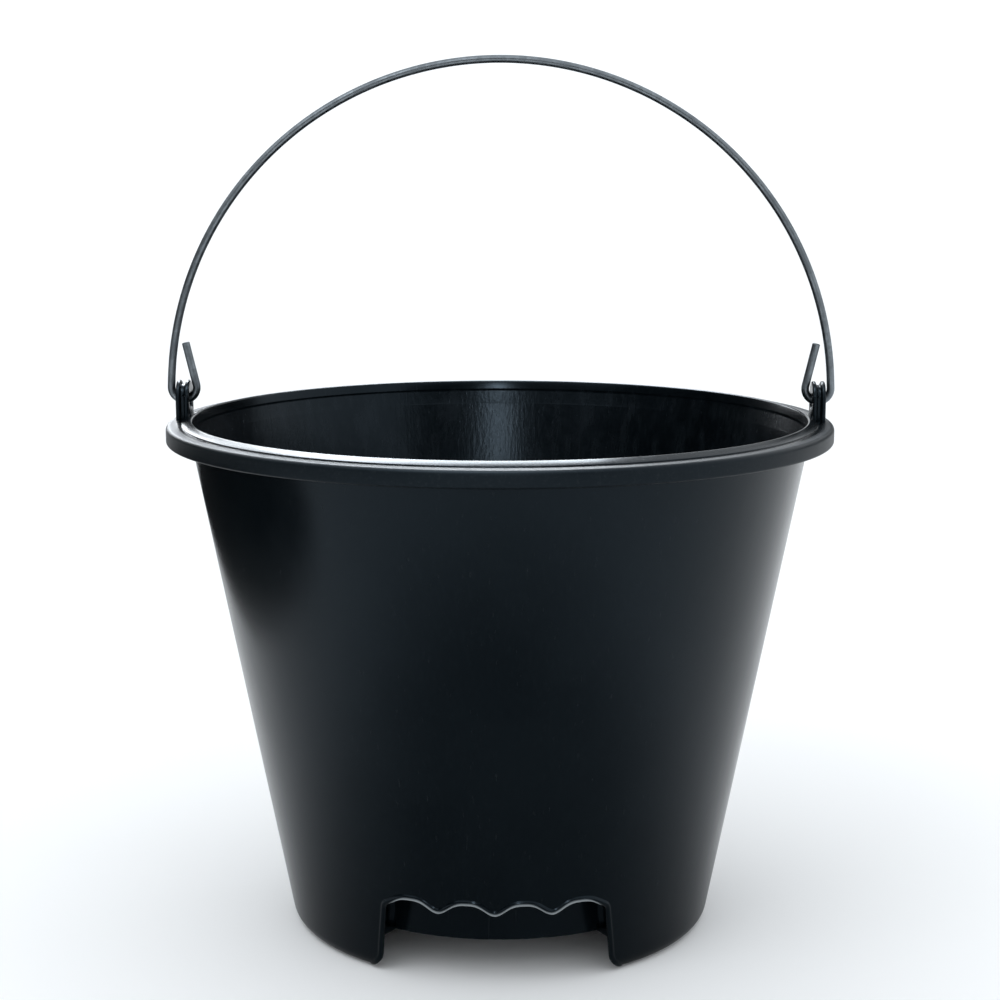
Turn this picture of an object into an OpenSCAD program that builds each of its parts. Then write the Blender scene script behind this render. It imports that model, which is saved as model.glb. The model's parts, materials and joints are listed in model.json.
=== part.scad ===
// Round moulded plastic bucket with a swinging wire bail.
// Millimetres. +Z is up, the origin is on the ground at the centre of the foot ring,
// the finger grip faces -Y and the two ears stand at -X and +X.

/* [Bucket] */
// Height of the rim's crest above the ground
rim_h = 256; // [245:1:270]
// Outer diameter of the turned-down rim
rim_d = 330; // [324:1:336]
// How far the rim overhangs the top of the wall
rim_overhang = 10.2; // [9.8:0.1:10.6]
// Outer diameter of the conical wall, carried on down to the ground
base_d = 210.8; // [208:0.2:214]
// Thickness of the wall
wall_t = 2.4; // [2.2:0.1:2.8]
// Thickness of the floor
floor_t = 3; // [2.5:0.1:3.5]
// Height of the floor's underside above the ground
floor_z = 18.5; // [17:0.5:21]

/* [Rim] */
// Height of the rim from the lip's lower edge to the crest
rim_drop = 10.5; // [10:0.1:12]
// Thickness of the flange and of its lip
flange_t = 2.6; // [2.4:0.1:2.8]
// Step from the crest down to the flange's shoulder
crest_step = 2.2; // [1.8:0.1:2.6]
// Width of the crest
crest_w = 4.8; // [4.4:0.1:5.2]
// Angle at which the crest falls away outwards
crest_slope = 24; // [18:1:26]
// Radius of the crest's inner edge
crest_edge_r = 0.9; // [0.6:0.1:1.2]
// Radius of the flange's outer corner
shoulder_r = 2.8; // [2.4:0.1:3]
// Depth of the shallow band that is recessed inside the mouth
band_depth = 0.6; // [0.3:0.1:0.8]
// Height of that band
band_h = 8; // [6:0.5:10]

/* [Foot] */
// Radius of the rounded foot
foot_r = 8; // [7:0.5:9]
// Width of the flat ring that the bucket stands on
foot_land = 3.5; // [2.5:0.5:4]

/* [Finger grip] */
// Width of the opening at its scalloped top
grip_w = 102; // [98:1:104]
// Width of the opening just above its rounded lower corners
grip_foot_w = 107; // [106:1:110]
// Height of the finger scallops' crowns above the ground
grip_h = 41.4; // [39:0.2:43]
// Number of fingers that the edge is shaped for
fingers = 4; // [3:1:5]
// Depth of the scallops
scallop_depth = 5.2; // [3:0.2:6]
// Radius of the corners beside the opening
grip_corner_r = 10; // [8:1:12]
// Radius from the axis to the back wall of the finger pocket
pocket_r = 96; // [94:0.5:98]
// Height of the roof of the finger pocket
pocket_h = 56; // [50:1:60]
// Width of the hollow moulding that the pocket makes inside the bucket
pocket_w = 114; // [112:1:118]

/* [Ears] */
// Height of the bail's pivot above the crest
pivot_h = 7.2; // [6.8:0.1:7.8]
// Width of an ear along the rim
ear_w = 16; // [14:0.5:17]
// Thickness of an ear
ear_t = 6.4; // [5.6:0.1:6.4]
// Height of an ear above the crest
ear_h = 17.2; // [16:0.2:18.4]
// Width of the groove that runs round the ear's edge
groove_w = 2.4; // [1.8:0.1:2.6]
// Depth of that groove
groove_depth = 1.8; // [1.2:0.1:2.2]
// Diameter of the pivot hole
hole_d = 7.6; // [7.4:0.1:8]

/* [Bail] */
// Diameter of the wire
wire_d = 4; // [3.6:0.1:4.1]
// Radius of the bail's arch, to the middle of the wire
bail_r = 164.3; // [163.5:0.1:165]
// Height of the arch's centre above the pivot
bail_rise = 2.4; // [2:0.1:4]
// Radius of the hook at each end, to the middle of the wire
hook_r = 6.3; // [6.2:0.1:6.6]
// Length of the straight end of the hook
tail_l = 21.5; // [16:0.5:24]
// Angle at which the straight end leans towards the arch
tail_lean = 13; // [8:1:16]

/* [Hidden] */
$fn = 144;

// Margin by which a cutting solid runs past the surface that it cuts
past = 1;

rim_r = rim_d / 2;
base_r = base_d / 2;
wall_top_r = rim_r - rim_overhang;
wall_slope = (wall_top_r - base_r) / rim_h;
wall_angle = atan(wall_slope);
floor_top = floor_z + floor_t;
floor_fillet = 6;

flange_top = rim_h - crest_step;
flange_under = flange_top - flange_t;
lip_z = rim_h - rim_drop;
crest_in = inner_r(rim_h);
crest_out = crest_in + crest_w;
// Depth of the crest's outer edge below its top
crest_fall = crest_edge_r
    - (crest_edge_r - (crest_w - crest_edge_r) * sin(crest_slope)) / cos(crest_slope);
band_top = rim_h - crest_w;
band_foot = band_top - band_h;

foot_c = wall_r(foot_r) - foot_r / cos(wall_angle);
toe_c = foot_c - foot_land;

// The outer fingers' hollows end this far beyond the sides of the opening
scallop_overrun = 2;
scallop_w = (grip_w + 2 * scallop_overrun) / fingers;
// Power that makes a finger's hollow wider than the cusp between two fingers
scallop_shape = 1.6;
scallop_steps = 12;
// Thickness of the front wall between the scalloped edge and the hollow behind it
grip_skin = 3;
pocket_out_r = wall_r(grip_h) - grip_skin;
pocket_roof = pocket_h + wall_t;

pivot_z = rim_h + pivot_h;
hook_z = pivot_z + hook_r;
arch_z = pivot_z + bail_rise;
arch_end = asin((hook_z - arch_z) / (bail_r - hook_r));
ear_c = (bail_r - hook_r) * cos(arch_end);
// The arch and the tails are a hair thinner than the hooks and run a little way into them
seam_t = 0.1;
seam_l = 0.5;
arch_start = arch_end - seam_l / bail_r * 180 / PI;
ear_foot = flange_under + flange_t / 2;
ear_round = ear_w / 2;
// Gap between an ear's buttress and the wire in the pivot hole
wire_gap = 1.6;
rib_t = 2;
rib_pitch = 6;

// Outer and inner radius of the conical wall at height z
function wall_r(z) = base_r + wall_slope * z;
function inner_r(z) = wall_r(z) - wall_t / cos(wall_angle);

// Points on an arc of radius r about c, from angle a0 to a1 in n steps
function arc(c, r, a0, a1, n = 8) =
    [for (i = [0:n]) let (a = a0 + (a1 - a0) * i / n) c + r * [cos(a), sin(a)]];

// Height of the scalloped edge at distance x from the middle of the grip
function scallop_z(x) =
    let (from_cusp = (1 - cos(360 * x / scallop_w)) / 2)
    grip_h - scallop_depth * pow(1 - from_cusp, scallop_shape);

// Half section of the foot, wall, rim and floor, in radius and height
function bucket_section() = concat(
    arc([foot_c, foot_r], foot_r, -90, -wall_angle),
    [[wall_r(flange_under), flange_under]],
    [[rim_r - flange_t, flange_under]],
    arc([rim_r - flange_t / 2, lip_z + flange_t / 2], flange_t / 2, -180, 0),
    arc([rim_r - shoulder_r, flange_top - shoulder_r], shoulder_r, 0, 90, 6),
    [[crest_out, flange_top]],
    [[crest_out, rim_h - crest_fall]],
    arc([crest_in + crest_edge_r, rim_h - crest_edge_r], crest_edge_r, 90 - crest_slope, 180, 6),
    [[inner_r(band_top), band_top]],
    [[inner_r(band_top) + band_depth, band_top - band_depth]],
    [[inner_r(band_foot) + band_depth, band_foot + band_depth]],
    [[inner_r(band_foot), band_foot]],
    arc([inner_r(floor_top + floor_fillet) - floor_fillet / cos(wall_angle),
         floor_top + floor_fillet], floor_fillet, -wall_angle, -90),
    [[0, floor_top]],
    [[0, floor_z]],
    [[inner_r(floor_z), floor_z]],
    arc([foot_c, foot_r], foot_r - wall_t, -wall_angle, -90),
    arc([toe_c, wall_t / 2], wall_t / 2, 90, 270)
);

// One side of the grip opening, from its scalloped top to below the ground
function grip_side(side) = concat(
    [[side * grip_w / 2, scallop_z(grip_w / 2)]],
    [for (p = arc([grip_foot_w / 2 + grip_corner_r, grip_corner_r], grip_corner_r, 180, 270))
        [side * p[0], p[1]]],
    [[side * (grip_foot_w / 2 + grip_corner_r), -past]]
);

// Outline of the grip opening, seen from the front
function grip_outline() =
    let (half = floor(grip_w / 2 / scallop_w * scallop_steps))
    let (right = grip_side(1))
    concat(
        grip_side(-1),
        [for (i = [len(right) - 1:-1:0]) right[i]],
        [for (i = [half:-1:-half])
            let (x = i * scallop_w / scallop_steps) [x, scallop_z(x)]]
    );

// Block of the front half-space, half as wide as w on each side, between heights z0 and z1
module front_block(w, z0, z1) {
    translate([-w / 2, -rim_r, z0])
        cube([w, rim_r, z1 - z0]);
}

// Solid that stands inside the wall round the finger pocket
module pocket_moulding() {
    intersection() {
        difference() {
            translate([0, 0, floor_z])
                cylinder(r1 = wall_r(floor_z) - wall_t / 2, r2 = wall_r(pocket_roof) - wall_t / 2,
                         h = pocket_roof - floor_z);
            translate([0, 0, floor_z - past])
                cylinder(r = pocket_r - wall_t, h = pocket_roof);
        }
        front_block(pocket_w, 0, rim_h);
    }
}

// Everything that the finger grip takes away
module grip_hollow() {
    difference() {
        union() {
            rotate([90, 0, 0])
                linear_extrude(rim_r)
                    polygon(grip_outline());
            intersection() {
                cylinder(r = pocket_out_r, h = pocket_h);
                front_block(grip_w, floor_z, rim_h);
            }
        }
        translate([0, 0, foot_r + past])
            cylinder(r = pocket_r, h = rim_h);
    }
}

// Outline of an ear, drawn in to leave a margin all round its edge
module ear_outline(margin) {
    half = ear_round - margin;
    translate([0, rim_h + ear_h - ear_round])
        circle(r = half);
    translate([-half, ear_foot])
        square([2 * half, rim_h + ear_h - ear_round - ear_foot]);
}

// Upright slab of an ear, t thick, with its inner face at radius x
module ear_slab(x, t, margin) {
    translate([x, 0, 0])
        rotate([90, 0, 90])
            linear_extrude(t)
                ear_outline(margin);
}

// One ear at +X: two cheeks with a web between them, a buttress and ribs below
module ear() {
    cheek_t = (ear_t - groove_w) / 2;
    face = ear_c - ear_t / 2;
    buttress_h = pivot_h - wire_d / 2 - wire_gap;
    rib_h = flange_under - lip_z - flange_t / 2;
    difference() {
        union() {
            ear_slab(face, cheek_t, 0);
            ear_slab(face + cheek_t, groove_w, groove_depth);
            ear_slab(face + cheek_t + groove_w, cheek_t, 0);
        }
        translate([face - past, 0, pivot_z])
            rotate([0, 90, 0])
                cylinder(d = hole_d, h = ear_t + 2 * past);
    }
    rotate([90, 0, 0])
        translate([0, 0, -ear_w / 4])
            linear_extrude(ear_w / 2)
                polygon([
                    [crest_in + crest_w / 4, rim_h - crest_w / 2],
                    [face + cheek_t / 2, rim_h - crest_w / 2],
                    [face + cheek_t / 2, rim_h + buttress_h],
                    [face, rim_h + buttress_h]
                ]);
    for (i = [-1:1])
        translate([wall_r(lip_z) - wall_t / 2, i * rib_pitch - rib_t / 2, flange_under - rib_h])
            cube([rim_r - wall_r(lip_z) - flange_t / 2, rib_t, rib_h + flange_t / 2]);
}

module bucket() {
    color([0.11, 0.13, 0.14]) {
        difference() {
            union() {
                rotate_extrude()
                    polygon(bucket_section());
                pocket_moulding();
            }
            grip_hollow();
        }
        ear();
        mirror([1, 0, 0])
            ear();
    }
}

// Wire of diameter d bent to radius r about the Y axis, from angle a0 through sweep degrees
module bent_wire(r, d, a0, sweep) {
    rotate([90, 0, 0])
        rotate([0, 0, a0])
            rotate_extrude(angle = sweep)
                translate([r, 0])
                    circle(d = d);
}

// Hook at +X, with its straight tail leaning towards the arch
module hook() {
    translate([ear_c, 0, hook_z]) {
        bent_wire(hook_r, wire_d, -180 - tail_lean, 180 + tail_lean + arch_end);
        translate([-hook_r * cos(tail_lean), 0, hook_r * sin(tail_lean)])
            rotate([0, tail_lean, 0])
                translate([0, 0, -seam_l])
                    cylinder(d = wire_d - seam_t, h = tail_l + seam_l);
    }
}

module wire_bail() {
    color([0.62, 0.66, 0.70]) {
        translate([0, 0, arch_z])
            bent_wire(bail_r, wire_d - seam_t, arch_start, 180 - 2 * arch_start);
        hook();
        mirror([1, 0, 0])
            hook();
    }
}

bucket();
wire_bail();
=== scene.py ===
"""Looks of a black moulded bucket with a galvanised wire bail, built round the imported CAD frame.

Lengths are in millimetres until a mesh is made. The rim's radius, the tops of the ears and the
bail, and the height of its pivot come from the CAD boxes and the joint, and the other sizes are
named below. The finger grip faces -Y and the ears stand on the X axis.
"""

import json
import math

import bmesh
import bpy
import numpy as np
from mathutils import Matrix, Vector
from mathutils.geometry import delaunay_2d_cdt


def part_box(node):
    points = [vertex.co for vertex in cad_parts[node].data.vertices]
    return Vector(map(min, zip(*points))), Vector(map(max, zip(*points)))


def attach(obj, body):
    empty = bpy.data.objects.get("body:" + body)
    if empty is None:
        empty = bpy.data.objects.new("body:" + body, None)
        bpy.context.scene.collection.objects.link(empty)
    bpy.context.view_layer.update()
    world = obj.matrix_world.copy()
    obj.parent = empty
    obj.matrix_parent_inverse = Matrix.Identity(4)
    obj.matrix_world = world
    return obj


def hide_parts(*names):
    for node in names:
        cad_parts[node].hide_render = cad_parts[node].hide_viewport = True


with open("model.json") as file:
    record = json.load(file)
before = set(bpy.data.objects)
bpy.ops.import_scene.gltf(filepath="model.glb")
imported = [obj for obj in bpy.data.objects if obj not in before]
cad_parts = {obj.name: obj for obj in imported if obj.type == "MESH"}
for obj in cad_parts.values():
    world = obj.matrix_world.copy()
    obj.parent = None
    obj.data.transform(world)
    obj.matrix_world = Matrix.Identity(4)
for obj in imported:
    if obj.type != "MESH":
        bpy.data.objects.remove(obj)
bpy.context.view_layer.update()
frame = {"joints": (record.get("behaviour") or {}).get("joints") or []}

MM = 0.001
BUCKET_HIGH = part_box("bucket")[1] / MM
BAIL_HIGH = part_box("wire_bail")[1] / MM
PIVOT_Z = frame["joints"][0]["pos_m"][2] / MM

# ---------------------------------------------------------------- sizes

# Everything is drawn this much inside the CAD surfaces
SKIN = 0.02

# The bail's pivot stands over the rim's crest, and the flange reaches out beyond the wall's top
PIVOT_LIFT = 7.2
FLANGE_REACH = 10.2
RIM_R = BUCKET_HIGH.x
EDGE_R = RIM_R - SKIN
RIM_H = PIVOT_Z - PIVOT_LIFT
CREST_TOP = RIM_H - SKIN

# Conical wall and floor
WALL_T = 2.4
HALF_T = WALL_T / 2 - SKIN / 2
WALL_TOP_R = RIM_R - FLANGE_REACH
BASE_R = 105.4
SLOPE = (WALL_TOP_R - BASE_R) / RIM_H
WALL_ANGLE = math.atan(SLOPE)
FLOOR_Z = 18.5
FLOOR_T = 3.0
FLOOR_TOP = FLOOR_Z + FLOOR_T
FLOOR_FILLET = 6.0

# Rim: a crest that falls away outwards, a groove, a rounded shoulder and a turned-down lip
CREST_W = 4.8
CREST_SLOPE = math.radians(24)
CREST_EDGE_R = 0.9
CREST_RUN = CREST_W - CREST_EDGE_R
# Drop from the crest's rounded peak to its outer end
CREST_FALL = CREST_EDGE_R - ((CREST_EDGE_R - CREST_RUN * math.sin(CREST_SLOPE))
                             / math.cos(CREST_SLOPE))
CREST_FOOT_R = 0.25
FLANGE_T = 2.6
FLANGE_DROP = 2.2
FLANGE_TOP = RIM_H - FLANGE_DROP
FLANGE_UNDER = FLANGE_TOP - FLANGE_T
FLANGE_FILLET = 1.6
SHOULDER_R = 2.2
LIP_H = 10.5
LIP_Z = RIM_H - LIP_H
LIP_INNER_R = 1.0
LIP_END_R = 1.25

# Shallow band inside the mouth
BAND_DEPTH = 0.12
BAND_RUN = 4 * BAND_DEPTH
BAND_H = 8.0
BAND_BEND_R = 3.0

# Foot: the wall turns in to a flat land, and the toe is the land's inner end
FOOT_R = 8.0
FOOT_LAND = 3.5
FOOT_C = BASE_R + SLOPE * FOOT_R - FOOT_R / math.cos(WALL_ANGLE)
TOE_C = FOOT_C - FOOT_LAND
TOE_CORNER_R = 3.8

# Finger grip; its lower corners flare out from FLARE_START over the land to TOE_FLARE at the toe
GRIP_HALF = 51.0
GRIP_FOOT_HALF = 53.5
GRIP_H = 41.4
GRIP_CORNER_R = 10.0
GRIP_TOP_CORNER_R = 3.0
FLARE_START = 0.3
TOE_FLARE = 6.0
SCALLOPS_HALF = 46.0
SCALLOP_W = 26.5
SCALLOP_DEPTH = 5.2
SCALLOP_SHAPE = 1.6

# Pocket behind the grip, and the housing that closes it inside the bucket
POCKET_R = 96.0
POCKET_ROOF = 56.0
POCKET_SIDE = 54.0
POCKET_CORNER_R = 3.0
POCKET_EDGE_R = 1.5
HOUSING_HALF = 57.0
HOUSING_CORNER_R = 6.0
HOUSING_EDGE_R = 3.0
HOUSING_FILLET = 2.0

# Bail: the wire is drawn WIRE_SKIN thinner than in CAD, and the arch ends ARCH_GAP below its box
CAD_WIRE_R = 2.0
WIRE_SKIN = 0.06
WIRE_R = CAD_WIRE_R - WIRE_SKIN
HOOK_R = 6.3
HOOK_Z = PIVOT_Z + HOOK_R
ARCH_LIFT = 2.4
ARCH_Z = PIVOT_Z + ARCH_LIFT
ARCH_GAP = 0.01
BAIL_R = BAIL_HIGH.z - ARCH_GAP - WIRE_R - ARCH_Z
TAIL_L = 21.5
TAIL_LEAN = 13.0
# The cut ends narrow to this share of the wire over this length
END_SHARE = 0.8
END_BEVEL = 0.35

# Ears: two cheeks, and between them a groove that runs round the edge; EAR_STEP is in degrees
EAR_TOP = BUCKET_HIGH.z - SKIN
EAR_HALF = 8.0 - SKIN
EAR_T = 6.4
EAR_C = BAIL_HIGH.x - HOOK_R - CAD_WIRE_R
EAR_FOOT = FLANGE_UNDER + FLANGE_T / 2
EAR_STEP = 3
HOLE_R = 3.8
HOLE_EDGE_R = 0.6
CHEEK_T = 1.7
CHEEK_OUTER_R = 0.8
CHEEK_INNER_R = 0.55
GROOVE_DEPTH = 1.8
GROOVE_SIDE = 0.8
GROOVE_R = 0.3

# Buttress and ribs of an ear
BUTTRESS_HALF = 4.0
BUTTRESS_BITE = 1.0
BUTTRESS_EDGE_R = 0.5
WIRE_CLEAR = 1.6
RIB_PITCH = 6.0
RIB_HALF = 1.0
RIB_EDGE_R = 0.4

# Bead on the grip's free edge: its swelling, how far back from the edge the rounding starts, the
# distance from the toe over which the bead grows, and its share on the upright sides
BEAD_SWELL = 0.42
EDGE_BACK = 2.1
BEAD_START = 3.0
BEAD_GROWTH = 5.0
SIDE_BEAD = 0.35
# Where the bead leaves the flat of the wall, as a step and as a turn in degrees
BEAD_STEP = 0.2
BEAD_TURN = 12

# Mesh: a column of vertices every degree, the spacing along the grip's edge, how near to it the
# grid may come, and the distance and angle at which points are merged and edges stay sharp
COLUMNS = 360
FRONT_COLUMNS = 45
FRONT_ANGLE = math.radians(FRONT_COLUMNS)
GRIP_ZONE_Z = 62.0
EDGE_SPACING = 0.8
EDGE_STEPS = 12
GRID_GAP = 0.7
FLAT_MERGE = 1e-5
MERGE_DISTANCE = 0.002
SHARP_ANGLE = math.radians(32)
WIRE_SIDES = 28
# Radius at which angles are turned into arc lengths round the grip
GRIP_SCALE = 105.0


def middle_r(z):
    """Radius of the middle of the conical wall at height z."""
    return BASE_R + SLOPE * z - WALL_T / 2 / math.cos(WALL_ANGLE)


def inner_r(z):
    """Inner radius of the conical wall at height z."""
    return middle_r(z) - HALF_T / math.cos(WALL_ANGLE)


def outer_r(z):
    """Outer radius of the conical wall at height z."""
    return middle_r(z) + HALF_T / math.cos(WALL_ANGLE)


def arc(centre, radius, start, end, steps):
    """Points on an arc from angle start to end, in degrees."""
    angles = np.radians(np.linspace(start, end, steps + 1))
    return [(centre[0] + radius * math.cos(a), centre[1] + radius * math.sin(a)) for a in angles]


def resample(points, spacing):
    """The same polyline with points about spacing apart, both ends kept."""
    points = np.array(points, float)
    along = np.concatenate([[0], np.cumsum(np.linalg.norm(np.diff(points, axis=0), axis=1))])
    count = max(2, int(round(along[-1] / spacing)) + 1)
    wanted = np.linspace(0, along[-1], count)
    return np.stack([np.interp(wanted, along, column) for column in points.T], axis=1)


# ---------------------------------------------------------------- mesh helpers

class Builder:
    """Collects vertices in millimetres and faces, and makes one Blender object of them."""

    def __init__(self):
        self.points = []
        self.faces = []

    def row(self, points):
        """Add a row of vertices and return their numbers."""
        first = len(self.points)
        self.points += [tuple(p) for p in points]
        return list(range(first, len(self.points)))

    def face(self, corners):
        self.faces.append(list(corners))

    def bridge(self, a, b, closed=False):
        """Quads between two rows of vertices of the same length."""
        count = len(a) if closed else len(a) - 1
        for i in range(count):
            j = (i + 1) % len(a)
            self.face([a[i], a[j], b[j], b[i]])

    def make(self, name, material):
        """One object of everything built so far, with doubled vertices merged."""
        mesh = bpy.data.meshes.new(name)
        mesh.from_pydata([Vector(p) * MM for p in self.points], [], self.faces)
        mesh.materials.append(material)
        work = bmesh.new()
        work.from_mesh(mesh)
        bmesh.ops.remove_doubles(work, verts=work.verts, dist=MERGE_DISTANCE * MM)
        bmesh.ops.recalc_face_normals(work, faces=work.faces)
        work.to_mesh(mesh)
        work.free()
        obj = bpy.data.objects.new(name, mesh)
        bpy.context.scene.collection.objects.link(obj)
        mesh.shade_smooth()
        mesh.set_sharp_from_angle(angle=SHARP_ANGLE)
        return obj


def rounded(corners, steps):
    """Open outline through (x, y, radius) corners, each one turned into an arc of its radius."""
    outline = []
    for i, (x, y, radius) in enumerate(corners):
        here = Vector((x, y))
        if radius == 0 or i in (0, len(corners) - 1):
            outline.append((x, y))
            continue
        before = (Vector(corners[i - 1][:2]) - here).normalized()
        after = (Vector(corners[i + 1][:2]) - here).normalized()
        half = before.angle(after) / 2
        centre = here + (before + after).normalized() * (radius / math.sin(half))
        reach = radius / math.tan(half)
        start = here + before * reach - centre
        end = here + after * reach - centre
        turn = start.angle_signed(end)
        outline += [tuple(centre + Matrix.Rotation(-turn * k / steps, 2) @ start)
                    for k in range(steps + 1)]
    return outline


def at(radius, angle, z):
    """Point at a radius and height, at an angle in radians from the front towards +X."""
    return (radius * math.sin(angle), -radius * math.cos(angle), z)


# ---------------------------------------------------------------- wall, foot and rim

def middle(q):
    """Radius, height and outward normal of the wall's middle surface at distance q from the toe."""
    bend = FOOT_R - HALF_T
    on_arc = q - FOOT_LAND
    on_cone = on_arc - bend * (math.pi / 2 - WALL_ANGLE)
    if on_arc <= 0:
        return TOE_C + q, HALF_T, (0.0, -1.0)
    if on_cone <= 0:
        a = on_arc / bend - math.pi / 2
        return FOOT_C + bend * math.cos(a), FOOT_R + bend * math.sin(a), (math.cos(a), math.sin(a))
    side, up = math.sin(WALL_ANGLE), math.cos(WALL_ANGLE)
    return (FOOT_C + bend * up + on_cone * side, FOOT_R - bend * side + on_cone * up, (up, -side))


def distance_at(z):
    """Distance from the toe at which the middle surface is at height z, above the land."""
    bend = FOOT_R - HALF_T
    cone_start = FOOT_R - bend * math.sin(WALL_ANGLE)
    if z < cone_start:
        return FOOT_LAND + bend * (math.asin((z - FOOT_R) / bend) + math.pi / 2)
    return FOOT_LAND + bend * (math.pi / 2 - WALL_ANGLE) + (z - cone_start) / math.cos(WALL_ANGLE)


def wall_face(q, offset):
    """Radius and height at distance q from the toe, offset outwards from the middle surface."""
    r, z, (nr, nz) = middle(q)
    return r + nr * offset, z + nz * offset


def sheet_point(angle, q, offset):
    """Point of the wall at an angle and a distance from the toe, offset outwards."""
    r, z = wall_face(q, offset)
    return at(r, angle, z)


def scallop_z(x):
    """Height of the scalloped edge at distance x from the middle of the grip."""
    from_cusp = (1 - math.cos(2 * math.pi * x / SCALLOP_W)) / 2
    return GRIP_H - SCALLOP_DEPTH * (1 - from_cusp) ** SCALLOP_SHAPE


def grip_edge():
    """Free edge of the front wall as (arc length at GRIP_SCALE, distance from the toe) points."""
    def place(x, z):
        q = distance_at(z)
        return (math.asin(x / middle(q)[0]) * GRIP_SCALE, q)

    toe_u = math.asin((GRIP_FOOT_HALF + TOE_FLARE) / TOE_C) * GRIP_SCALE
    corner_c = GRIP_FOOT_HALF + GRIP_CORNER_R
    flare = [place(corner_c - math.sqrt(GRIP_CORNER_R ** 2 - (GRIP_CORNER_R - z) ** 2), z)
             for z in np.linspace(HALF_T + FLARE_START, GRIP_CORNER_R, 10)]
    scallops = [place(x, scallop_z(x)) for x in np.arange(-SCALLOPS_HALF, SCALLOPS_HALF + 1)]
    right = [(FRONT_ANGLE * GRIP_SCALE, -HALF_T, 0), (toe_u, -HALF_T, TOE_CORNER_R)]
    right += [(u, q, 0) for u, q in flare]
    right += [(*place(GRIP_HALF, scallop_z(GRIP_HALF)), GRIP_TOP_CORNER_R)]
    left = [(-u, q, radius) for u, q, radius in right]
    outline = left + [(u, q, 0) for u, q in scallops] + right[::-1]
    return resample(rounded(outline, steps=8), EDGE_SPACING)


def wall_rows():
    """Distances from the toe of the wall's rows of vertices, up to the top of the grip zone."""
    bend_end = FOOT_LAND + (FOOT_R - HALF_T) * (math.pi / 2 - WALL_ANGLE)
    land = np.linspace(EDGE_BACK, FOOT_LAND, 3)
    bend = np.linspace(FOOT_LAND, bend_end, 13)[1:]
    cone = np.linspace(bend_end, distance_at(GRIP_ZONE_Z), 19)[1:]
    return np.concatenate([land, bend, cone])


def inside_polygon(points, polygon):
    """Which of the points lie inside the polygon."""
    a = polygon
    b = np.roll(polygon, -1, axis=0)
    x, y = points[:, 0][:, None], points[:, 1][:, None]
    crosses = (a[:, 1] > y) != (b[:, 1] > y)
    rise = np.where(b[:, 1] == a[:, 1], 1, b[:, 1] - a[:, 1])
    cut = a[:, 0] + (y - a[:, 1]) * (b[:, 0] - a[:, 0]) / rise
    return (crosses & (x < cut)).sum(axis=1) % 2 == 1


def edge_profile(bead):
    """Rounded end of the wall as (outward, free) offsets, swollen outward where bead is above 0."""
    swell = BEAD_SWELL * bead
    radius = HALF_T + swell
    centre = (EDGE_BACK - swell, swell)
    start = 180 - math.degrees(math.asin(min(1.0, (HALF_T - swell) / radius)))
    flank = centre[0] + radius * math.cos(math.radians(start)) - BEAD_STEP * bead
    bend = arc(centre, radius, start - BEAD_TURN * bead, -90, steps=EDGE_STEPS)
    return [(HALF_T, 0), (HALF_T, flank)] + [(n, f) for f, n in bend] + [(-HALF_T, 0)]


def front_triangles(edge_line):
    """Triangles of the front wall laid out flat, behind the line where its edge rounding starts."""
    rows = wall_rows()
    columns = np.radians(np.arange(-FRONT_COLUMNS, FRONT_COLUMNS + 1)) * GRIP_SCALE
    side = [(FRONT_ANGLE * GRIP_SCALE, q) for q in rows[1:-1]]
    top = [(u, rows[-1]) for u in columns[::-1]]
    border = np.array([tuple(p) for p in edge_line] + side + top + [(-u, q) for u, q in side[::-1]])
    grid = np.array([(u, q) for q in rows[1:-1] for u in columns[1:-1]])
    gap = np.linalg.norm(grid[:, None, :] - border[None, :, :], axis=2).min(axis=1)
    grid = grid[inside_polygon(grid, border) & (gap > GRID_GAP)]
    flat = [Vector(p) for p in np.concatenate([border, grid])]
    loop = [list(range(len(border)))]
    inside_loop = 1
    spots, _, triangles, *_ = delaunay_2d_cdt(flat, [], loop, inside_loop, FLAT_MERGE)
    return spots, triangles


def edge_ring(centre, into, edge):
    """Points round the end of the front wall, at one place along its free edge."""
    (u, q), (du, dq) = centre, into
    angle = u / GRIP_SCALE
    r, _, (nr, nz) = middle(q)
    out = Vector(at(nr, angle, nz))
    around = Vector((math.cos(angle), math.sin(angle), 0))
    up = Vector(at(-nz, angle, nr))
    free = -(around * du * r / GRIP_SCALE + up * dq).normalized()
    spot = Vector(sheet_point(angle, q, 0))
    grown = min(1.0, max(0.0, (float(edge[1]) - BEAD_START) / BEAD_GROWTH))
    bead = grown * (SIDE_BEAD + (1 - SIDE_BEAD) * abs(float(dq)))
    return [spot + n * out + f * free for n, f in edge_profile(bead)]


def front_wall(build):
    """Front part of the wall and foot, with the scalloped opening and its rounded free edge."""
    edge = grip_edge()
    tangent = np.gradient(edge, axis=0)
    tangent /= np.linalg.norm(tangent, axis=1)[:, None]
    into = np.stack([-tangent[:, 1], tangent[:, 0]], axis=1)
    into[0] = into[-1] = (0, 1)
    centre = edge + into * (HALF_T + EDGE_BACK)
    spots, triangles = front_triangles(centre)
    for offset in (HALF_T, -HALF_T):
        row = build.row(sheet_point(u / GRIP_SCALE, q, offset) for u, q in spots)
        for corners in triangles:
            build.face([row[i] for i in corners])
    rings = [build.row(edge_ring(*place)) for place in zip(centre, into, edge)]
    for before, after in zip(rings, rings[1:]):
        build.bridge(before, after)


def back_wall(build):
    """The rest of the wall and foot below the top of the grip zone."""
    rows = wall_rows()
    section = [wall_face(q, HALF_T) for q in rows[::-1]]
    section += [(TOE_C + EDGE_BACK - f, HALF_T - n) for n, f in edge_profile(0)[1:-1]]
    section += [wall_face(q, -HALF_T) for q in rows]
    columns = [build.row(at(r, math.radians(a), z) for r, z in section)
               for a in range(FRONT_COLUMNS, COLUMNS - FRONT_COLUMNS + 1)]
    for before, after in zip(columns, columns[1:]):
        build.bridge(before, after)


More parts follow.
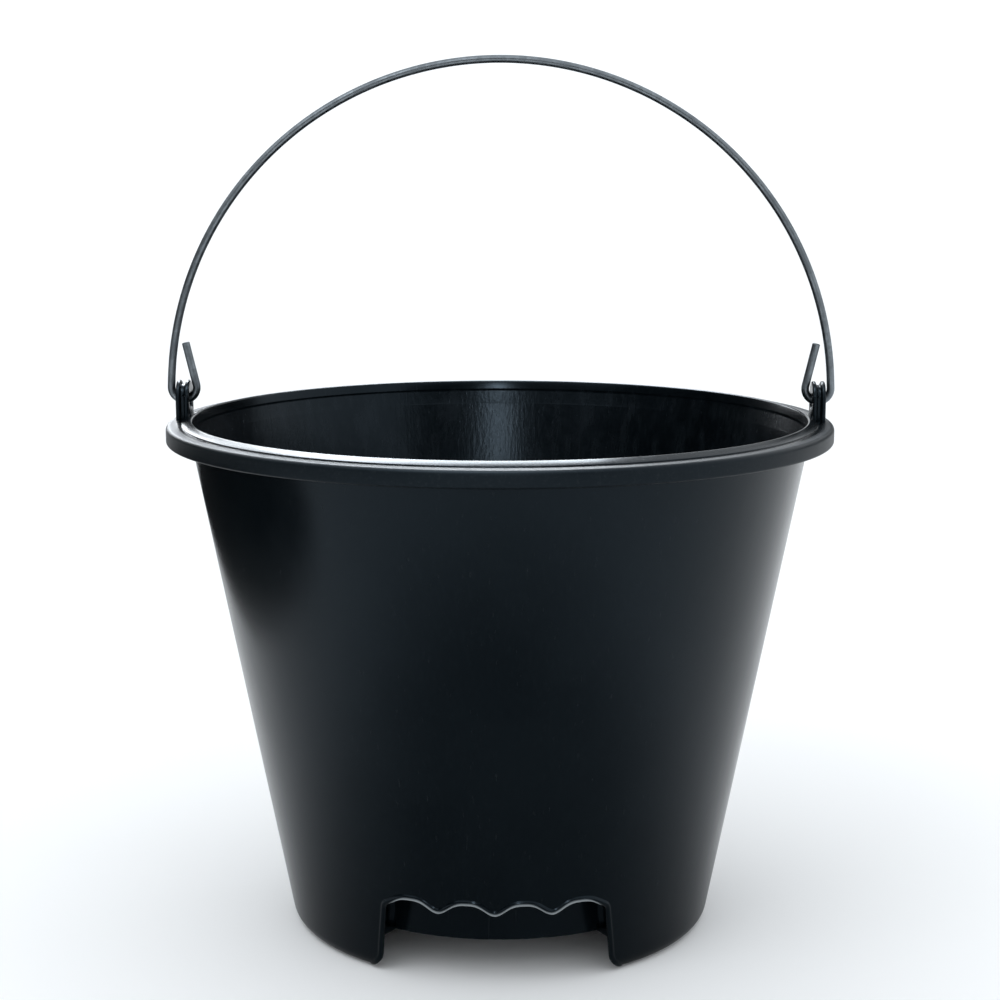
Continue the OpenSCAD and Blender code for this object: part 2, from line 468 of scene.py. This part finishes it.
def upper_wall(build):
    """Wall above the grip zone, with the turned-down rim and the shallow band in the mouth."""
    foot = distance_at(GRIP_ZONE_Z)
    lip_in = EDGE_R - FLANGE_T
    crest_in = inner_r(RIM_H)
    crest_out = crest_in + CREST_W
    crest_low = CREST_TOP - CREST_FALL
    crest_peak = crest_low + CREST_W * math.tan(CREST_SLOPE)
    band_top = RIM_H - CREST_W
    band_foot = band_top - BAND_H
    section = rounded([
        (*wall_face(foot, HALF_T), 0),
        (outer_r(FLANGE_UNDER), FLANGE_UNDER, FLANGE_FILLET),
        (lip_in, FLANGE_UNDER, LIP_INNER_R),
        (lip_in, LIP_Z, LIP_END_R),
        (EDGE_R, LIP_Z, LIP_END_R),
        (EDGE_R, FLANGE_TOP, SHOULDER_R),
        (crest_out, FLANGE_TOP, CREST_FOOT_R),
        (crest_out, crest_low, CREST_FOOT_R),
        (crest_in, crest_peak, CREST_EDGE_R),
        (inner_r(band_top), band_top, BAND_BEND_R),
        (inner_r(band_top) + BAND_DEPTH, band_top - BAND_RUN, BAND_BEND_R),
        (inner_r(band_foot) + BAND_DEPTH, band_foot + BAND_RUN, BAND_BEND_R),
        (inner_r(band_foot), band_foot, BAND_BEND_R),
        (*wall_face(foot, -HALF_T), 0),
    ], steps=7)
    columns = [build.row(at(r, math.radians(a), z) for r, z in section)
               for a in range(COLUMNS)]
    for i, column in enumerate(columns):
        build.bridge(column, columns[(i + 1) % COLUMNS])


# ---------------------------------------------------------------- floor and finger pocket

def floor(build):
    """Floor with a fillet up to the wall, cut away at the front where the pocket stands."""
    fillet_z = FLOOR_TOP + FLOOR_FILLET
    fillet_c = inner_r(fillet_z) - FLOOR_FILLET / math.cos(WALL_ANGLE)
    bend = arc((fillet_c, fillet_z), FLOOR_FILLET, -90, -math.degrees(WALL_ANGLE), steps=8)
    wide = bend + [(middle_r(fillet_z), fillet_z), (middle_r(FLOOR_Z), FLOOR_Z)]
    front_r = POCKET_R - WALL_T / 2
    narrow = [(front_r, z) for z in np.linspace(FLOOR_TOP, FLOOR_Z, len(wide))]
    side = math.asin(POCKET_SIDE / middle_r(FLOOR_Z))
    stations = [(a, wide) for a in np.linspace(side, 2 * math.pi - side, COLUMNS)]
    stations += [(a, narrow) for a in np.linspace(-side, side, 2 * FRONT_COLUMNS)]
    columns = [build.row(at(r, a, z) for r, z in section) for a, section in stations]
    for i, column in enumerate(columns):
        build.bridge(column, columns[(i + 1) % len(columns)])
    build.face([column[0] for column in columns])
    build.face([column[-1] for column in columns])


def pocket_contour(side_x, back_r, corner, z):
    """Plan of the pocket's housing at height z: wall, side, corner, back and round again."""
    x_c = side_x - corner
    y_c = -math.sqrt((back_r + corner) ** 2 - x_c ** 2)
    y_wall = -math.sqrt(middle_r(z) ** 2 - side_x ** 2)
    turn = math.degrees(math.atan2(-y_c, x_c))
    side = [(-side_x, y) for y in np.linspace(y_wall, y_c, 5)[:-1]]
    bend = arc((-x_c, y_c), corner, 180, turn, steps=8)
    back_angle = math.asin(x_c / (back_r + corner))
    half = side + bend
    back = [at(back_r, a, z)[:2] for a in np.linspace(-back_angle, back_angle, 41)[1:-1]]
    plan = half + back + [(-x, y) for x, y in half[::-1]]
    return [(x, y, z) for x, y in plan]


def pocket(build):
    """Hollow housing that stands inside the wall behind the finger grip."""
    quarter = math.pi / 2
    edge_z = POCKET_ROOF + WALL_T - HOUSING_EDGE_R
    levels = [(FLOOR_Z, 0.0)]
    levels += [(FLOOR_TOP + HOUSING_FILLET * math.sin(a), -HOUSING_FILLET * (1 - math.sin(a)))
               for a in np.linspace(0, quarter, 5)]
    levels += [(edge_z + HOUSING_EDGE_R * math.sin(a), HOUSING_EDGE_R * (1 - math.cos(a)))
               for a in np.linspace(0, quarter, 7)]
    back_r = POCKET_R - WALL_T
    outer = [build.row(pocket_contour(HOUSING_HALF - d, back_r + d, HOUSING_CORNER_R - d, z))
             for z, d in levels]

    widen = (GRIP_FOOT_HALF - GRIP_HALF) / (GRIP_H - GRIP_CORNER_R)
    edge_z = POCKET_ROOF - POCKET_EDGE_R
    levels = [(FLOOR_Z, 0.0, GRIP_HALF + widen * (GRIP_H - FLOOR_Z)), (GRIP_H, 0.0, GRIP_HALF)]
    levels += [(edge_z + POCKET_EDGE_R * math.sin(a), POCKET_EDGE_R * (1 - math.cos(a)), GRIP_HALF)
               for a in np.linspace(0, quarter, 5)]
    inner = [build.row(pocket_contour(half - d, POCKET_R + d, POCKET_CORNER_R - d, z))
             for z, d, half in levels]
    for shell in (outer, inner):
        for before, after in zip(shell, shell[1:]):
            build.bridge(before, after)
        x, y, z = build.points[shell[-1][-1]]
        end = math.atan2(x, -y)
        wall = build.row(at(middle_r(z), a, z) for a in np.linspace(end, -end, 31)[1:-1])
        build.face(shell[-1] + wall)
    build.bridge(outer[0], inner[0])


# ---------------------------------------------------------------- ears

def ear_reach(angle, margin):
    """Distance from the pivot to an ear's edge, drawn in by margin, at an angle from +Y."""
    half = EAR_HALF - margin
    c, s = math.cos(angle), math.sin(angle)
    lift = EAR_TOP - EAR_HALF - PIVOT_Z
    on_round = lift * s + math.sqrt(max(0.0, half ** 2 - (lift * c) ** 2))
    if on_round * s >= lift:
        return on_round
    reach = half / abs(c) if c else math.inf
    if s < 0:
        reach = min(reach, (PIVOT_Z - EAR_FOOT) / -s)
    return reach


def ear(build, side):
    """One ear at +X or -X: two cheeks joined by a recessed web round the pivot hole."""
    face = EAR_C - EAR_T / 2
    back = EAR_C + EAR_T / 2
    # Both outlines start and end with a point on the ear's flat sides, which is then dropped
    flank = 3
    hole = rounded([
        (back, HOLE_R + flank, 0),
        (back, HOLE_R, HOLE_EDGE_R),
        (face, HOLE_R, HOLE_EDGE_R),
        (face, HOLE_R + flank, 0),
    ], steps=4)[1:-1]
    groove = CHEEK_T + GROOVE_SIDE
    edge = rounded([
        (face, flank, 0),
        (face, 0, CHEEK_OUTER_R),
        (face + CHEEK_T, 0, CHEEK_INNER_R),
        (face + groove, GROOVE_DEPTH, GROOVE_R),
        (back - groove, GROOVE_DEPTH, GROOVE_R),
        (back - CHEEK_T, 0, CHEEK_INNER_R),
        (back, 0, CHEEK_OUTER_R),
        (back, flank, 0),
    ], steps=4)[1:-1]
    stations = []
    for angle in np.radians(np.arange(0, 360, EAR_STEP)):
        reaches = hole + [(x, ear_reach(angle, margin)) for x, margin in edge]
        stations.append(build.row((side * x, r * math.cos(angle), PIVOT_Z + r * math.sin(angle))
                                  for x, r in reaches))
    for i, station in enumerate(stations):
        build.bridge(station, stations[(i + 1) % len(stations)], closed=True)


def soft_prism(build, side, outline, low, high, soft):
    """Prism of an (x, z) outline between two y values, with its end edges rounded."""
    flat = np.array(outline)
    ahead = np.roll(flat, -1, axis=0) - flat
    behind = flat - np.roll(flat, 1, axis=0)
    ahead /= np.linalg.norm(ahead, axis=1)[:, None]
    behind /= np.linalg.norm(behind, axis=1)[:, None]
    inward = np.stack([-(ahead + behind)[:, 1], (ahead + behind)[:, 0]], axis=1)
    inward /= np.linalg.norm(inward, axis=1)[:, None]
    turn = [(soft * (1 - math.sin(a)), soft * (1 - math.cos(a)))
            for a in np.linspace(0, math.pi / 2, 4)]
    ends = [(low + y, inset) for inset, y in turn] + [(high - y, inset) for inset, y in turn[::-1]]
    rings = [build.row((side * x, y, z) for x, z in flat + inward * inset) for y, inset in ends]
    for before, after in zip(rings, rings[1:]):
        build.bridge(before, after, closed=True)
    build.face(rings[0])
    build.face(rings[-1])


def buttress(build, side):
    """Wedge that props an ear from inside."""
    face = EAR_C - EAR_T / 2
    buried = face + BUTTRESS_BITE
    top = PIVOT_Z - CAD_WIRE_R - WIRE_CLEAR
    foot = RIM_H - CREST_W / 2
    start = inner_r(RIM_H) + CREST_W / 4
    outline = [(start, foot), (buried, foot), (buried, top), (face, top)]
    soft_prism(build, side, outline, -BUTTRESS_HALF, BUTTRESS_HALF, BUTTRESS_EDGE_R)


def ribs(build, side):
    """Ribs between the wall and the lip, under an ear."""
    near = middle_r(LIP_Z)
    far = RIM_R - FLANGE_T / 2
    low = LIP_Z + FLANGE_T / 2
    high = FLANGE_UNDER + FLANGE_T / 2
    outline = [(near, low), (far, low), (far, high), (near, high)]
    for y in (-RIB_PITCH, 0, RIB_PITCH):
        soft_prism(build, side, outline, y - RIB_HALF, y + RIB_HALF, RIB_EDGE_R)


# ---------------------------------------------------------------- wire bail

def bail_path():
    """Middle of the wire from one tail's tip to the other's, in the XZ plane."""
    rise = math.degrees(math.asin((HOOK_Z - ARCH_Z) / (BAIL_R - HOOK_R)))
    hook_c = (-EAR_C, HOOK_Z)
    lean = math.radians(TAIL_LEAN)
    bend = arc(hook_c, HOOK_R, TAIL_LEAN, -180 - rise, steps=30)
    tip = (bend[0][0] - TAIL_L * math.sin(lean), bend[0][1] + TAIL_L * math.cos(lean))
    tail = [(tip[0] + (bend[0][0] - tip[0]) * t, tip[1] + (bend[0][1] - tip[1]) * t)
            for t in np.linspace(0, 1, 10)[:-1]]
    arch = arc((0, ARCH_Z), BAIL_R, 180 - rise, 90, steps=90)[1:]
    half = tail + bend + arch
    return half + [(-x, z) for x, z in half[:-1][::-1]]


def wire(build):
    """Round wire along the bail's path, with the edges of its cut ends broken."""
    path = [Vector((x, 0, z)) for x, z in bail_path()]
    last = len(path) - 1
    sideways = Vector((0, 1, 0))
    sections = []
    for i, spot in enumerate(path):
        along = (path[min(i + 1, last)] - path[max(i - 1, 0)]).normalized()
        across = sideways.cross(along)
        if i == 0:
            sections.append((spot, across, END_SHARE))
            spot = spot + along * END_BEVEL
        if i == last:
            sections.append((spot - along * END_BEVEL, across, 1.0))
        sections.append((spot, across, END_SHARE if i == last else 1.0))
    turns = np.linspace(0, 2 * math.pi, WIRE_SIDES, endpoint=False)
    rows = [build.row(spot + WIRE_R * share * (across * math.cos(a) + sideways * math.sin(a))
                      for a in turns)
            for spot, across, share in sections]
    for before, after in zip(rows, rows[1:]):
        build.bridge(before, after, closed=True)
    build.face(rows[0])
    build.face(rows[-1])


# ---------------------------------------------------------------- material helpers

class Shader:
    """A node material with short calls to add and link its nodes."""

    def __init__(self, name):
        self.material = bpy.data.materials.new(name)
        self.material.use_nodes = True
        self.tree = self.material.node_tree
        self.surface = self.tree.nodes["Principled BSDF"]

    def add(self, kind, inputs=None, **settings):
        """New node with its settings, its inputs linked from sockets or set to values."""
        node = self.tree.nodes.new(kind)
        for key, value in settings.items():
            setattr(node, key, value)
        for key, value in (inputs or {}).items():
            self.put(node.inputs[key], value)
        return node

    def put(self, socket, value):
        if isinstance(value, bpy.types.NodeSocket):
            self.tree.links.new(value, socket)
        else:
            socket.default_value = value

    def math(self, operation, a, b=0.0, c=0.0):
        return self.add("ShaderNodeMath", {0: a, 1: b, 2: c}, operation=operation).outputs[0]

    def noise(self, place, scale, detail, roughness):
        node = self.add("ShaderNodeTexNoise", {"Vector": place, "Scale": scale, "Detail": detail,
                                               "Roughness": roughness})
        return node.outputs[0]

    def band(self, value, low, high, out_low=0.0, out_high=1.0):
        """Smooth step of a value from low to high, given out as out_low to out_high."""
        node = self.add("ShaderNodeMapRange", {0: value, 1: low, 2: high, 3: out_low, 4: out_high},
                        interpolation_type="SMOOTHSTEP")
        return node.outputs[0]

    def blend(self, amount, a, b):
        """Mix of two colours."""
        node = self.add("ShaderNodeMix", data_type="RGBA")
        self.put(node.inputs["Factor"], amount)
        self.put(node.inputs["A"], a)
        self.put(node.inputs["B"], b)
        return node.outputs["Result"]

    def bump(self, height, depth, base=None):
        """Normal bumped by a height of 0 to 1 that stands for depth metres."""
        node = self.add("ShaderNodeBump", {"Height": height, "Distance": depth, "Strength": 1.0})
        if base is not None:
            self.put(node.inputs["Normal"], base)
        return node.outputs[0]


# ---------------------------------------------------------------- black plastic

PLASTIC_DARK = (0.0008, 0.0018, 0.0026, 1)
PLASTIC_LIGHT = (0.0016, 0.0030, 0.0040, 1)
FLOW_TONE = (0.0035, 0.0052, 0.0064, 1)
INSIDE_FLOW_TONE = (0.010, 0.013, 0.016, 1)
SCUFF_TONE = (0.05, 0.055, 0.058, 1)
# Pale grey of the painted highlight on the front of the grip's scalloped edge
EDGE_HIGHLIGHT_TONE = (0.23, 0.25, 0.26, 1)

# Roughness of the skin from its glossiest to its dullest, and what dulls it further
SATIN = (0.18, 0.24)
FLOW_DULLING = 0.08
LIP_DULLING = 0.22
SCUFF_DULLING = 0.45
REFLECTANCE = 0.2
REFLECTANCE_TINT = (0.64, 0.83, 1.0, 1)

# How strong the scuffs and scratches are, and how deep each kind of relief is
SCUFF_AMOUNT = 0.12
SCRATCH_AMOUNT = 0.10
RIPPLE_DEPTH = 0.10
FLOW_DEPTH = 0.10
GRAIN_DEPTH = 0.006
SCRATCH_DEPTH = 0.012

# Spans over which a feature grows from none to full. Scuffs: heights at the foot and the crest, and
# radius at the lip. Ripple: heights below the lip.
SCUFFED_FOOT = (2 * FOOT_R, 1)
SCUFFED_CREST = (RIM_H - 4, RIM_H + 1)
SCUFFED_LIP = (RIM_R - 7, RIM_R - 3)
RIPPLE_TOP = (LIP_Z, LIP_Z - 12)

# Inside streaks: depth behind mid-wall, heights over the pocket and below the rim, and how fast
# they change along the height
FLOW_SKIN = (0, 0.4)
FLOW_FOOT = (POCKET_ROOF + 2, POCKET_ROOF + 12)
FLOW_TOP = (RIM_H - 2, RIM_H - 7)
FLOW_STRETCH = 2.2

# Painted highlight along the front of the grip's scalloped edge: distance from the edge and from
# its ends, out of mid-wall, and along Y
HIGHLIGHT_NEAR = (1.9, 0.7)
HIGHLIGHT_ENDS = (GRIP_HALF, GRIP_HALF - 4)
HIGHLIGHT_OUT = (-0.6, 0.2)
HIGHLIGHT_FRONT = (-50, -80)


def span(limits):
    """A pair of limits in metres."""
    return [limit * MM for limit in limits]


def painted_edge_highlight(s, x, y, z, out):
    """How strongly the front of the scalloped edge is painted pale as a highlight, 0 to 1; out is
    the distance out of mid-wall.
    """
    wave = s.math("COSINE", s.math("MULTIPLY", x, 2 * math.pi / (SCALLOP_W * MM)))
    hollow = s.math("POWER", s.math("MULTIPLY_ADD", wave, 0.5, 0.5), SCALLOP_SHAPE)
    edge_z = s.math("MULTIPLY_ADD", hollow, -SCALLOP_DEPTH * MM, GRIP_H * MM)
    from_edge = s.math("ABSOLUTE", s.math("SUBTRACT", z, edge_z))
    highlight_share = s.band(from_edge, *span(HIGHLIGHT_NEAR))
    highlight_share = s.math("MULTIPLY", highlight_share, s.band(s.math("ABSOLUTE", x), *span(HIGHLIGHT_ENDS)))
    highlight_share = s.math("MULTIPLY", highlight_share, s.band(out, *span(HIGHLIGHT_OUT)))
    return s.math("MULTIPLY", highlight_share, s.band(y, *span(HIGHLIGHT_FRONT)))


def inside_mask(s, z, radius, wall):
    """1 on the inside of the wall between the pocket and the rim, 0 elsewhere."""
    inside = s.band(s.math("SUBTRACT", wall, radius), *span(FLOW_SKIN))
    inside = s.math("MULTIPLY", inside, s.band(z, *span(FLOW_FOOT)))
    return s.math("MULTIPLY", inside, s.band(z, *span(FLOW_TOP)))


def scratch_mask(s, place):
    """1 in thin scratches that run slantwise over the object, 0 elsewhere."""
    drawn = s.add("ShaderNodeMapping", {"Vector": place, "Rotation": (0.4, 0.7, 0.5),
                                        "Scale": (900, 900, 26)}).outputs[0]
    return s.band(s.noise(drawn, scale=1, detail=3, roughness=0.6), 0.67, 0.73)


def black_plastic():
    """Black polypropylene: satin moulded skin, flow streaks inside, scuffs on the foot and rim, and
    a painted highlight on the grip's edge.
    """
    s = Shader("black_plastic")
    place = s.add("ShaderNodeTexCoord").outputs["Object"]
    split = s.add("ShaderNodeSeparateXYZ", {0: place})
    x, y, z = (split.outputs[k] for k in "XYZ")
    flat = s.add("ShaderNodeCombineXYZ", {0: x, 1: y}).outputs[0]
    radius = s.add("ShaderNodeVectorMath", {0: flat}, operation="LENGTH").outputs["Value"]
    around = s.add("ShaderNodeVectorMath", {0: flat}, operation="NORMALIZE").outputs[0]
    wall = s.math("MULTIPLY_ADD", z, SLOPE, middle_r(0) * MM)
    inside = inside_mask(s, z, radius, wall)

    drawn = s.add("ShaderNodeCombineXYZ", {2: s.math("MULTIPLY", z, FLOW_STRETCH)}).outputs[0]
    drawn = s.add("ShaderNodeVectorMath", {0: around, 1: drawn}, operation="ADD").outputs[0]
    streaks = s.noise(drawn, scale=22, detail=5, roughness=0.62)
    fine_streaks = s.noise(drawn, scale=90, detail=3, roughness=0.6)
    clouds = s.noise(place, scale=14, detail=4, roughness=0.55)
    grain = s.noise(place, scale=2600, detail=2, roughness=0.5)
    ripple = s.noise(place, scale=34, detail=2, roughness=0.4)
    dust = s.noise(place, scale=620, detail=5, roughness=0.7)

    scratches = scratch_mask(s, place)
    on_foot = s.band(z, *span(SCUFFED_FOOT))
    on_crest = s.band(z, *span(SCUFFED_CREST))
    on_lip = s.band(radius, *span(SCUFFED_LIP))
    rubbed = s.math("MAXIMUM", s.math("MAXIMUM", on_foot, on_crest), on_lip)
    rubbed = s.math("MULTIPLY", rubbed, SCUFF_AMOUNT)
    scuffs = s.math("MULTIPLY", s.band(dust, 0.52, 0.70), rubbed)
    scuffs = s.math("MAXIMUM", scuffs, s.math("MULTIPLY", scratches, SCRATCH_AMOUNT))

    skin = s.blend(s.band(clouds, 0.35, 0.65), PLASTIC_DARK, PLASTIC_LIGHT)
    skin = s.blend(s.band(fine_streaks, 0.45, 0.75, 0.0, 0.35), skin, FLOW_TONE)
    inside_streaks = s.math("MULTIPLY", inside, s.band(streaks, 0.42, 0.72, 0.0, 0.5))
    skin = s.blend(inside_streaks, skin, INSIDE_FLOW_TONE)
    skin = s.blend(scuffs, skin, SCUFF_TONE)
    # Painted highlight: the front of the scalloped grip edge is lightened to a pale grey
    highlight_share = painted_edge_highlight(s, x, y, z, s.math("SUBTRACT", radius, wall))
    s.put(s.surface.inputs["Base Color"], s.blend(highlight_share, skin, EDGE_HIGHLIGHT_TONE))

    flow = s.math("MULTIPLY", inside, fine_streaks)
    gloss = s.band(clouds, 0.3, 0.7, *SATIN)
    gloss = s.math("MULTIPLY_ADD", flow, FLOW_DULLING, gloss)
    gloss = s.math("MULTIPLY_ADD", on_lip, LIP_DULLING, gloss)
    gloss = s.math("MULTIPLY_ADD", scuffs, SCUFF_DULLING, gloss)
    s.put(s.surface.inputs["Roughness"], gloss)
    s.surface.inputs["Specular IOR Level"].default_value = REFLECTANCE
    s.surface.inputs["Specular Tint"].default_value = REFLECTANCE_TINT

    off_rim = s.band(z, *span(RIPPLE_TOP))
    normal = s.bump(s.math("MULTIPLY", ripple, off_rim), RIPPLE_DEPTH * MM)
    normal = s.bump(flow, FLOW_DEPTH * MM, normal)
    normal = s.bump(grain, GRAIN_DEPTH * MM, normal)
    normal = s.bump(s.math("SUBTRACT", 1.0, scratches), SCRATCH_DEPTH * MM, normal)
    s.put(s.surface.inputs["Normal"], normal)
    return s.material


# ---------------------------------------------------------------- galvanised wire

ZINC_DARK = (0.165, 0.185, 0.20, 1)
ZINC_LIGHT = (0.215, 0.24, 0.26, 1)
ZINC_DULL = (0.125, 0.14, 0.155, 1)

# Roughness of the zinc, what dulls it further, and how deep its relief is
ZINC_ROUGHNESS = 0.27
PATCH_DULLING = 0.16
GRIT_DULLING = 0.10
LINE_DEPTH = 0.010
GRIT_DEPTH = 0.005

# Die lines: how often they repeat across the wire, and how slowly they change along it
LINES_ACROSS = 2600
LINES_ALONG = 9


def galvanised_wire():
    """Drawn steel wire with a zinc coat: faint spangle, die lines and dull patches."""
    s = Shader("galvanised_wire")
    place = s.add("ShaderNodeTexCoord").outputs["Object"]
    split = s.add("ShaderNodeSeparateXYZ", {0: place})
    x, y, z = (split.outputs[k] for k in "XYZ")
    up = s.math("SUBTRACT", z, ARCH_Z * MM)
    spoke = s.add("ShaderNodeCombineXYZ", {0: x, 1: up}).outputs[0]
    radius = s.add("ShaderNodeVectorMath", {0: spoke}, operation="LENGTH").outputs["Value"]
    turn = s.math("ARCTAN2", x, up)
    drawn = s.add("ShaderNodeCombineXYZ", {0: s.math("MULTIPLY", radius, LINES_ACROSS),
                                           1: s.math("MULTIPLY", y, LINES_ACROSS),
                                           2: s.math("MULTIPLY", turn, LINES_ALONG)}).outputs[0]
    lines = s.noise(drawn, scale=1, detail=3, roughness=0.6)
    spangle = s.add("ShaderNodeTexVoronoi", {"Vector": place, "Scale": 420}).outputs["Color"]
    patches = s.noise(place, scale=130, detail=4, roughness=0.6)
    grit = s.noise(place, scale=1500, detail=3, roughness=0.6)
    dull = s.band(patches, 0.42, 0.66)
    zinc = s.blend(s.band(spangle, 0.2, 0.9), ZINC_DARK, ZINC_LIGHT)
    zinc = s.blend(s.math("MULTIPLY", dull, 0.5), zinc, ZINC_DULL)
    s.put(s.surface.inputs["Base Color"], zinc)
    gloss = s.math("MULTIPLY_ADD", dull, PATCH_DULLING, ZINC_ROUGHNESS)
    gloss = s.math("MULTIPLY_ADD", grit, GRIT_DULLING, gloss)
    s.put(s.surface.inputs["Roughness"], gloss)
    s.surface.inputs["Metallic"].default_value = 1.0
    normal = s.bump(lines, LINE_DEPTH * MM)
    normal = s.bump(grit, GRIT_DEPTH * MM, normal)
    s.put(s.surface.inputs["Normal"], normal)
    return s.material


# ---------------------------------------------------------------- pieces

def make_bucket():
    """The moulding: wall, foot, rim, floor, finger pocket and both ears."""
    build = Builder()
    front_wall(build)
    back_wall(build)
    upper_wall(build)
    floor(build)
    pocket(build)
    for side in (-1, 1):
        ear(build, side)
        buttress(build, side)
        ribs(build, side)
    moulding = build.make("moulding", black_plastic())
    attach(moulding, "bucket")
    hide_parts("bucket")
    return moulding


def make_bail():
    """The bent wire with its two hooks."""
    build = Builder()
    wire(build)
    bent = build.make("bent_wire", galvanised_wire())
    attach(bent, "bail")
    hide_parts("wire_bail")


# ---------------------------------------------------------------- studio

# Camera: distance, height and reach in metres, turn and pitch in degrees, lens and sensor in
# millimetres
CAMERA_DISTANCE = 1.0
CAMERA_H = 0.3855
CAMERA_TURN = 1.2
CAMERA_PITCH = 9.8
CAMERA_LENS = 72.6
CAMERA_SENSOR = 36
CAMERA_REACH = 100

FLOOR_REACH = 40000
FLOOR_TONES = ((0.925, 0.925, 0.92, 1), (0.95, 0.95, 0.945, 1))
FLOOR_ROUGHNESS = 0.75
FLOOR_REFLECTANCE = 0.2
DAYLIGHT = (0.93, 0.965, 1.0)
SKY_STRENGTH = 1.2

# The soft lamp, and lights that show only in the moulding's gloss: place and size in metres, and
# radiance
LAMP = ((-0.6, -0.9, 1.6), (0.8, 0.5), 3)
GLOSS_LIGHTS = {
    "crest_card": ((-0.16, 0.75, 1.15), (0.75, 0.50), 26),
    "shoulder_card": ((-0.05, -0.55, 1.50), (0.5, 0.5), 14),
    "left_card": ((-0.51, 0.98, 0.69), (0.35, 0.7), 9),
    "right_card": ((1.1, 1.0, 0.80), (1.2, 0.35), 1.5),
    "mouth_card": ((0.06, -1.7, 0.70), (0.16, 0.25), 26),
}

# Shades of the reflected cards: the middle of the dark spot, the distances in metres at which it
# starts and stops to fade, and its tone before and after
BLACK = ((0, 0, 0), (1.0, 5.0), 0.010, 0.020)
# Painted shade: dark near the bucket's front and pale further out, standing for the floor's shade
# by the bucket as seen in the gloss
PAINTED_SHADE_SPOT = ((0, -0.22, 0), (0.08, 0.36), 0.28, 0.92)

# Cards that lie just over the floor: left, right, front, back and shade
FLOOR_CARD_Z = 2
FLOOR_CARDS = {
    "left_floor_card": (-1500, -420, -200, 1100, BLACK),
    "far_left_floor_card": (-4500, -1500, -1600, 3000, BLACK),
    # This card carries the painted shade of the floor round the bucket's front
    "front_floor_shade_card": (-420, 420, -640, 60, PAINTED_SHADE_SPOT),
}

# Black cards that stand at the edge of the set: from one (x, y) place to another
UPRIGHT_CARD_Z = (300, 1500)
UPRIGHT_CARDS = {
    "front_dark_card": ((-2600, -3000), (2600, -3000)),
    "left_dark_card": ((-2600, -3000), (-2600, 600)),
    "back_left_dark_card": ((-2600, 600), (-250, 2900)),
    "back_right_dark_card": ((600, 2850), (2600, 1200)),
}


def studio_floor():
    """Plain pale floor, wide enough to reach the horizon."""
    s = Shader("studio_floor")
    place = s.add("ShaderNodeTexCoord").outputs["Object"]
    tone = s.blend(s.noise(place, scale=3, detail=3, roughness=0.5), *FLOOR_TONES)
    s.put(s.surface.inputs["Base Color"], tone)
    s.surface.inputs["Roughness"].default_value = FLOOR_ROUGHNESS
    s.surface.inputs["Specular IOR Level"].default_value = FLOOR_REFLECTANCE
    build = Builder()
    turns = np.linspace(0, 2 * math.pi, 96, endpoint=False)
    build.face(build.row(at(FLOOR_REACH, a, 0) for a in turns))
    build.make("studio_floor", s.material)


def softbox(name, place, size, radiance):
    """Rectangular soft light that faces the mouth."""
    light = bpy.data.lights.new(name, "AREA")
    light.shape = "RECTANGLE"
    light.size, light.size_y = size
    light.energy = radiance * math.pi * size[0] * size[1]
    light.color = DAYLIGHT
    lamp = bpy.data.objects.new(name, light)
    lamp.location = place
    aim = Vector((0, 0, RIM_H * MM)) - Vector(place)
    lamp.rotation_euler = aim.to_track_quat("-Z", "Y").to_euler()
    lamp.visible_camera = False
    bpy.context.scene.collection.objects.link(lamp)
    return lamp


def gloss_light(name, place, size, radiance, piece):
    """Soft light that shows only in the gloss of one piece."""
    lamp = softbox(name, place, size, radiance)
    lamp.visible_diffuse = False
    lit = bpy.data.collections.new(name)
    lit.objects.link(piece)
    lamp.light_linking.receiver_collection = lit


def studio_light(moulding):
    """Bright white sky, one soft lamp, and lights that show in the black gloss."""
    world = bpy.data.worlds.new("studio")
    world.use_nodes = True
    sky = world.node_tree.nodes["Background"]
    sky.inputs["Color"].default_value = (*DAYLIGHT, 1)
    sky.inputs["Strength"].default_value = SKY_STRENGTH
    bpy.context.scene.world = world
    softbox("lamp", *LAMP)
    for name, light in GLOSS_LIGHTS.items():
        gloss_light(name, *light, moulding)


def reflected_card(name, corners, shade):
    """Matt card that shows only in the gloss of the plastic and the wire."""
    spot, fade, dark, light = shade
    s = Shader(name)
    place = s.add("ShaderNodeTexCoord").outputs["Object"]
    away = s.add("ShaderNodeVectorMath", {0: place, 1: spot}, operation="DISTANCE")
    faded = s.band(away.outputs["Value"], *fade)
    tone = s.blend(faded, (dark, dark, dark, 1), (light, light, light, 1))
    s.put(s.surface.inputs["Base Color"], tone)
    s.surface.inputs["Specular IOR Level"].default_value = 0.0
    build = Builder()
    build.face(build.row(corners))
    card = build.make(name, s.material)
    card.visible_camera = False
    card.visible_diffuse = False
    card.visible_shadow = False


def dark_cards():
    """Cards on the floor that darken the wall and rim, and upright ones that darken the mouth."""
    for name, (left, right, front, back, shade) in FLOOR_CARDS.items():
        plan = [(left, front), (right, front), (right, back), (left, back)]
        reflected_card(name, [(x, y, FLOOR_CARD_Z) for x, y in plan], shade)
    low, high = UPRIGHT_CARD_Z
    for name, (start, end) in UPRIGHT_CARDS.items():
        reflected_card(name, [(*start, low), (*end, low), (*end, high), (*start, high)], BLACK)


def studio_camera():
    """Camera in front of the grip, a little above the rim and to the right."""
    lens = bpy.data.cameras.new("camera")
    lens.lens = CAMERA_LENS
    lens.sensor_width = CAMERA_SENSOR
    lens.clip_end = CAMERA_REACH
    camera = bpy.data.objects.new("camera", lens)
    turn = math.radians(CAMERA_TURN)
    camera.location = at(CAMERA_DISTANCE, turn, CAMERA_H)
    camera.rotation_euler = (math.radians(90 - CAMERA_PITCH), 0, turn)
    bpy.context.scene.collection.objects.link(camera)
    bpy.context.scene.camera = camera


studio_camera()
studio_floor()
dark_cards()
studio_light(make_bucket())
make_bail()

bpy.context.scene.view_settings.view_transform = "Standard"
